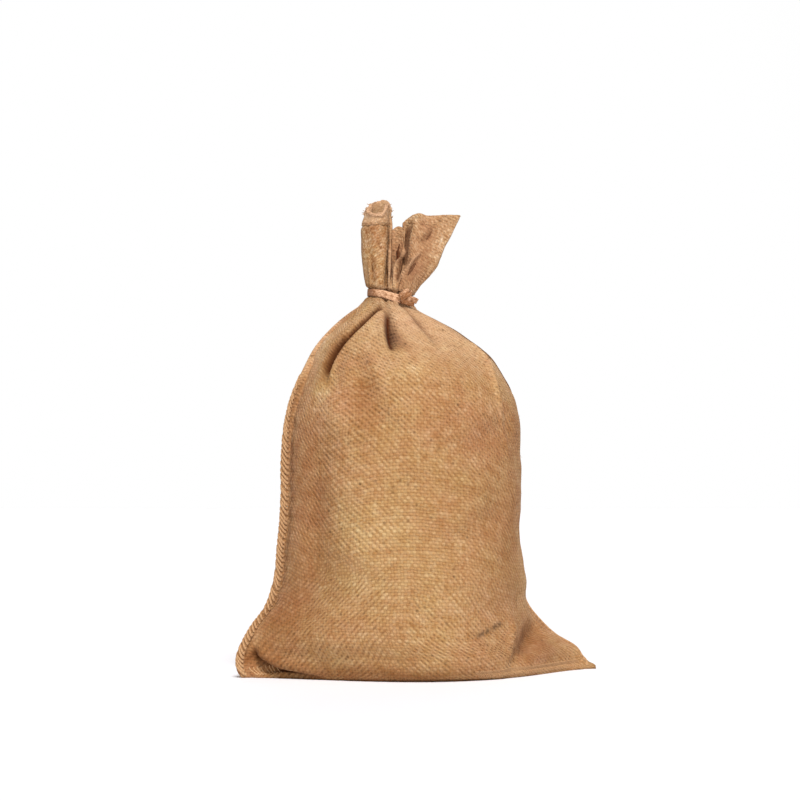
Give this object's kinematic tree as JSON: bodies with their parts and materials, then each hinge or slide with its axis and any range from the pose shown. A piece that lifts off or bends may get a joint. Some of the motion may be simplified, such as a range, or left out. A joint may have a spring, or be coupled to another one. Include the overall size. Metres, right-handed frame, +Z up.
{
  "type": "filled hessian sack, tied at the neck",
  "caption": "Small filled hessian sack that stands on its base, with sewn sides, two bottom ears and a gathered neck tied with tape under a pleated, open mouth.",
  "frame": {"origin": "on the floor, at the centre of the box round the sack seen from above", "axes": "+X along the flat width of the sack, from the left side seam to the right one; -Y is the front; +Z up"},
  "size_m": [0.3006, 0.1806, 0.3793],
  "materials": {
    "hessian": "plain-woven jute cloth, matt and hairy",
    "tie_tape": "flat woven tape, matt"
  },
  "bodies": {
    "root": {"sack": "hessian", "tie": "tie_tape"}
  },
  "joints": []
}
